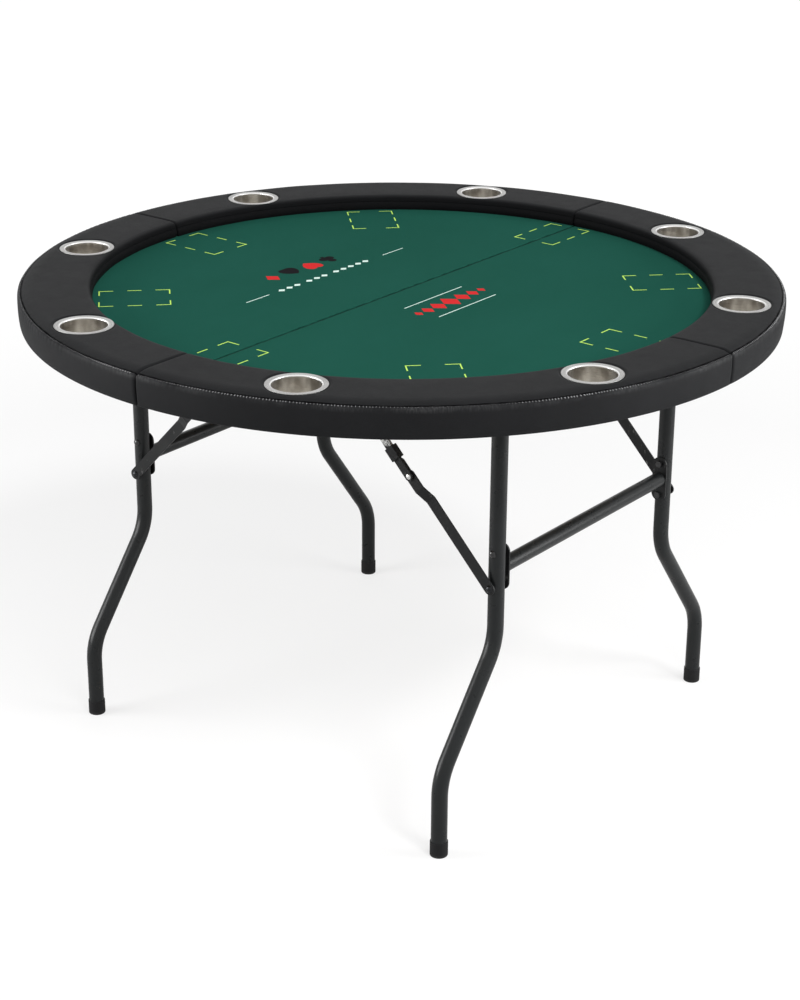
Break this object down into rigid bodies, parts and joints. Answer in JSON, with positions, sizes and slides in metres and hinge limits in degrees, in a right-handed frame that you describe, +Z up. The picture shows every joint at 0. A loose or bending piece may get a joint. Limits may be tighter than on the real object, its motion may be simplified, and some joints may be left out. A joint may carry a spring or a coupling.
{
  "type": "folding poker table",
  "caption": "Round folding poker table with padded rail, green cloth, drop-in steel cup holders and folding bent-tube leg frames with locking braces.",
  "frame": {"origin": "on the floor under the middle of the round top", "axes": "+Z up, Y along the middle seam of the top, X across it, right leg frame at +X"},
  "size_m": [1.219, 1.219, 0.7603],
  "materials": {
    "board": "sealed fibreboard",
    "foam": "foam sheet",
    "felt": "short nap cloth",
    "rail_cover": "satin, fine grain",
    "plated_steel": "zinc plated",
    "screw_steel": "zinc plated",
    "black_steel": "satin black",
    "powder_coat": "satin charcoal powder coat",
    "rubber": "matt",
    "cup_steel": "brushed"
  },
  "bodies": {
    "top": {"half_board_right": "board", "half_board_left": "board", "felt_underlay": "foam", "felt_right": "felt", "felt_left": "felt", "rail_core_1": "board", "rail_core_2": "board", "rail_core_3": "board", "rail_core_4": "board", "rail_pad_1": "rail_cover", "rail_pad_2": "rail_cover", "rail_pad_3": "rail_cover", "rail_pad_4": "rail_cover", "joining_plates": "plated_steel", "underside_screws": "screw_steel", "pivot_brackets_right": "black_steel", "pivot_brackets_left": "black_steel", "brace_brackets_right": "black_steel", "brace_brackets_left": "black_steel"},
    "leg_frame_right": {"pivot_tube_right": "powder_coat", "crossbar_right": "powder_coat", "flange_plates_right": "black_steel", "frame_bolts_right": "plated_steel", "leg_right_front": "powder_coat", "leg_right_back": "powder_coat", "foot_right_front": "rubber", "foot_right_back": "rubber"},
    "brace_upper_right_front": {"upper_link_right_front": "black_steel"},
    "brace_lower_right_front": {"lower_link_right_front": "black_steel", "link_pins_right_front": "plated_steel"},
    "brace_ring_right_front": {"lock_ring_right_front": "black_steel"},
    "brace_upper_right_back": {"upper_link_right_back": "black_steel"},
    "brace_lower_right_back": {"lower_link_right_back": "black_steel", "link_pins_right_back": "plated_steel"},
    "brace_ring_right_back": {"lock_ring_right_back": "black_steel"},
    "leg_frame_left": {"pivot_tube_left": "powder_coat", "crossbar_left": "powder_coat", "flange_plates_left": "black_steel", "frame_bolts_left": "plated_steel", "leg_left_front": "powder_coat", "leg_left_back": "powder_coat", "foot_left_front": "rubber", "foot_left_back": "rubber"},
    "brace_upper_left_front": {"upper_link_left_front": "black_steel"},
    "brace_lower_left_front": {"lower_link_left_front": "black_steel", "link_pins_left_front": "plated_steel"},
    "brace_ring_left_front": {"lock_ring_left_front": "black_steel"},
    "brace_upper_left_back": {"upper_link_left_back": "black_steel"},
    "brace_lower_left_back": {"lower_link_left_back": "black_steel", "link_pins_left_back": "plated_steel"},
    "brace_ring_left_back": {"lock_ring_left_back": "black_steel"},
    "cup_holder_1": {"cup_holder_1": "cup_steel"},
    "cup_holder_2": {"cup_holder_2": "cup_steel"},
    "cup_holder_3": {"cup_holder_3": "cup_steel"},
    "cup_holder_4": {"cup_holder_4": "cup_steel"},
    "cup_holder_5": {"cup_holder_5": "cup_steel"},
    "cup_holder_6": {"cup_holder_6": "cup_steel"},
    "cup_holder_7": {"cup_holder_7": "cup_steel"},
    "cup_holder_8": {"cup_holder_8": "cup_steel"}
  },
  "joints": [
    {"name": "fold_right", "type": "hinge", "parent": "top", "child": "leg_frame_right", "pos_m": [0.366, 0, 0.6975], "axis": [0, 1, 0], "range_deg": [0, 90]},
    {"name": "brace_swing_right_front", "type": "hinge", "parent": "top", "child": "brace_upper_right_front", "pos_m": [0.1, -0.2659, 0.678], "axis": [0, -1, 0], "range_deg": [0, 52.36]},
    {"name": "brace_knee_right_front", "type": "hinge", "parent": "brace_upper_right_front", "child": "brace_lower_right_front", "pos_m": [0.22305, -0.2659, 0.55021], "axis": [0, 1, 0], "range_deg": [0, 186.35]},
    {"name": "ring_slide_right_front", "type": "slide", "parent": "brace_upper_right_front", "child": "brace_ring_right_front", "axis": [-0.6936, 0, 0.7203], "range_m": [0, 0.0221]},
    {"name": "brace_swing_right_back", "type": "hinge", "parent": "top", "child": "brace_upper_right_back", "pos_m": [0.1, 0.2659, 0.678], "axis": [0, -1, 0], "range_deg": [0, 52.36]},
    {"name": "brace_knee_right_back", "type": "hinge", "parent": "brace_upper_right_back", "child": "brace_lower_right_back", "pos_m": [0.22305, 0.2659, 0.55021], "axis": [0, 1, 0], "range_deg": [0, 186.35]},
    {"name": "ring_slide_right_back", "type": "slide", "parent": "brace_upper_right_back", "child": "brace_ring_right_back", "axis": [-0.6936, 0, 0.7203], "range_m": [0, 0.0221]},
    {"name": "fold_left", "type": "hinge", "parent": "top", "child": "leg_frame_left", "pos_m": [-0.366, 0, 0.6975], "axis": [0, -1, 0], "range_deg": [0, 85]},
    {"name": "brace_swing_left_front", "type": "hinge", "parent": "top", "child": "brace_upper_left_front", "pos_m": [-0.1, -0.2659, 0.678], "axis": [0, 1, 0], "range_deg": [0, 45.95]},
    {"name": "brace_knee_left_front", "type": "hinge", "parent": "brace_upper_left_front", "child": "brace_lower_left_front", "pos_m": [-0.22305, -0.2659, 0.55021], "axis": [0, -1, 0], "range_deg": [0, 178.28]},
    {"name": "ring_slide_left_front", "type": "slide", "parent": "brace_upper_left_front", "child": "brace_ring_left_front", "axis": [0.6936, 0, 0.7203], "range_m": [0, 0.0221]},
    {"name": "brace_swing_left_back", "type": "hinge", "parent": "top", "child": "brace_upper_left_back", "pos_m": [-0.1, 0.2659, 0.678], "axis": [0, 1, 0], "range_deg": [0, 45.95]},
    {"name": "brace_knee_left_back", "type": "hinge", "parent": "brace_upper_left_back", "child": "brace_lower_left_back", "pos_m": [-0.22305, 0.2659, 0.55021], "axis": [0, -1, 0], "range_deg": [0, 178.28]},
    {"name": "ring_slide_left_back", "type": "slide", "parent": "brace_upper_left_back", "child": "brace_ring_left_back", "axis": [0.6936, 0, 0.7203], "range_m": [0, 0.0221]},
    {"name": "lift_cup_1", "type": "slide", "parent": "top", "child": "cup_holder_1", "axis": [0, 0, 1], "range_m": [0, 0.07]},
    {"name": "lift_cup_2", "type": "slide", "parent": "top", "child": "cup_holder_2", "axis": [0, 0, 1], "range_m": [0, 0.07]},
    {"name": "lift_cup_3", "type": "slide", "parent": "top", "child": "cup_holder_3", "axis": [0, 0, 1], "range_m": [0, 0.07]},
    {"name": "lift_cup_4", "type": "slide", "parent": "top", "child": "cup_holder_4", "axis": [0, 0, 1], "range_m": [0, 0.07]},
    {"name": "lift_cup_5", "type": "slide", "parent": "top", "child": "cup_holder_5", "axis": [0, 0, 1], "range_m": [0, 0.07]},
    {"name": "lift_cup_6", "type": "slide", "parent": "top", "child": "cup_holder_6", "axis": [0, 0, 1], "range_m": [0, 0.07]},
    {"name": "lift_cup_7", "type": "slide", "parent": "top", "child": "cup_holder_7", "axis": [0, 0, 1], "range_m": [0, 0.07]},
    {"name": "lift_cup_8", "type": "slide", "parent": "top", "child": "cup_holder_8", "axis": [0, 0, 1], "range_m": [0, 0.07]}
  ],
  "couplings": [
    {"joint": "brace_swing_right_front", "follows": "fold_right", "ratio": 0.58124},
    {"joint": "brace_knee_right_front", "follows": "fold_right", "ratio": 2.07},
    {"joint": "ring_slide_right_front", "follows": "fold_right", "m_per_rad": 0.014006},
    {"joint": "brace_swing_right_back", "follows": "fold_right", "ratio": 0.58124},
    {"joint": "brace_knee_right_back", "follows": "fold_right", "ratio": 2.07},
    {"joint": "ring_slide_right_back", "follows": "fold_right", "m_per_rad": 0.014006},
    {"joint": "brace_swing_left_front", "follows": "fold_left", "ratio": 0.54001},
    {"joint": "brace_knee_left_front", "follows": "fold_left", "ratio": 2.0968},
    {"joint": "ring_slide_left_front", "follows": "fold_left", "m_per_rad": 0.01483},
    {"joint": "brace_swing_left_back", "follows": "fold_left", "ratio": 0.54001},
    {"joint": "brace_knee_left_back", "follows": "fold_left", "ratio": 2.0968},
    {"joint": "ring_slide_left_back", "follows": "fold_left", "m_per_rad": 0.01483}
  ]
}
